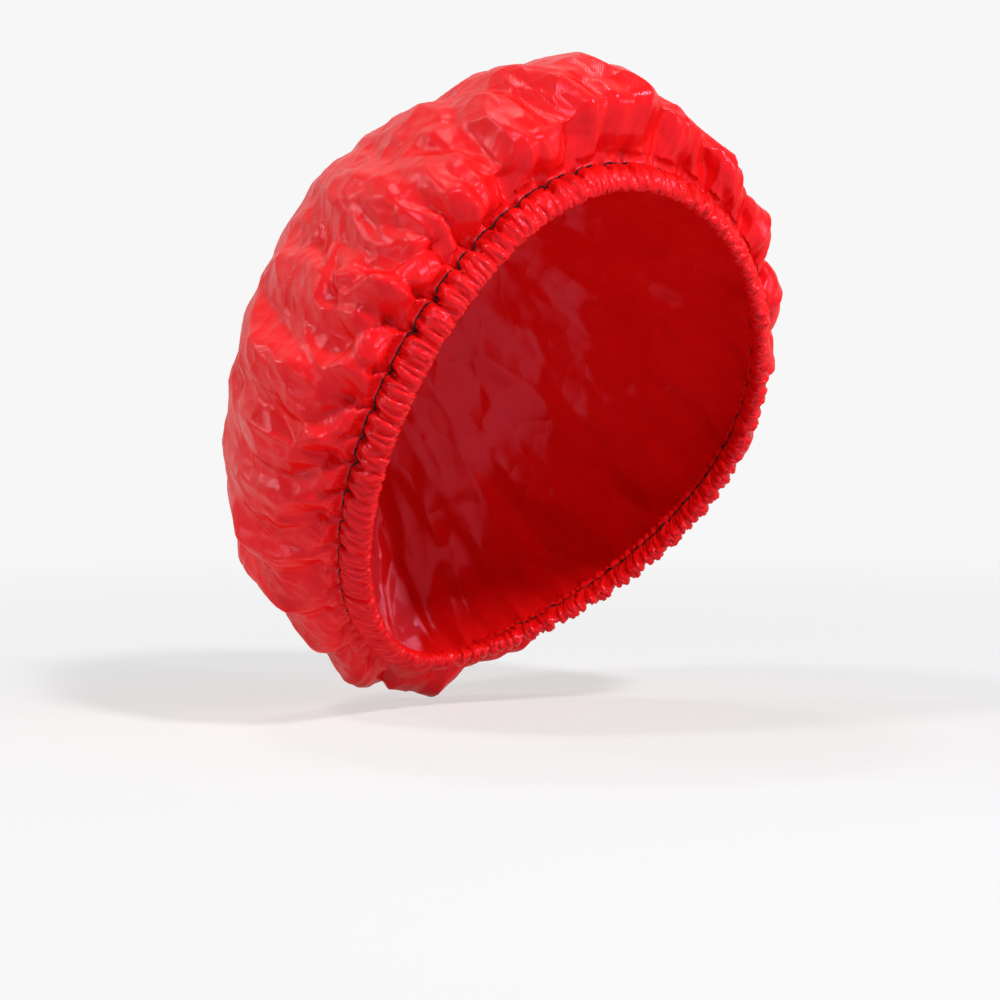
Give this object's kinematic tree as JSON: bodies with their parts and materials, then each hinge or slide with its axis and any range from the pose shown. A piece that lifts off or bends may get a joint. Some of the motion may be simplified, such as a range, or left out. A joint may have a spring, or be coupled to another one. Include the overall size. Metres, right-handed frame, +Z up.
{
  "type": "perm cap",
  "caption": "Puffed cap of thin coated cloth with a gathered, stitched elastic hem that holds it round the head, high at the forehead and low at the nape.",
  "frame": {"origin": "middle of the head opening, halfway between the lip at the forehead and the lip at the nape", "axes": "+Z up as the cap is worn, -Y towards the wearer's front, +X towards the wearer's left"},
  "size_m": [0.1962, 0.1761, 0.2304],
  "materials": {
    "coated_twill": "fine twill with a glossy coating",
    "elastic_weave": "woven elastic, matte",
    "black_thread": "spun polyester thread"
  },
  "bodies": {
    "root": {"crown_shell": "coated_twill", "hem_casing": "coated_twill", "elastic_band": "elastic_weave", "elastic_tack": "black_thread", "needle_thread": "black_thread", "bobbin_thread": "black_thread"}
  },
  "joints": []
}
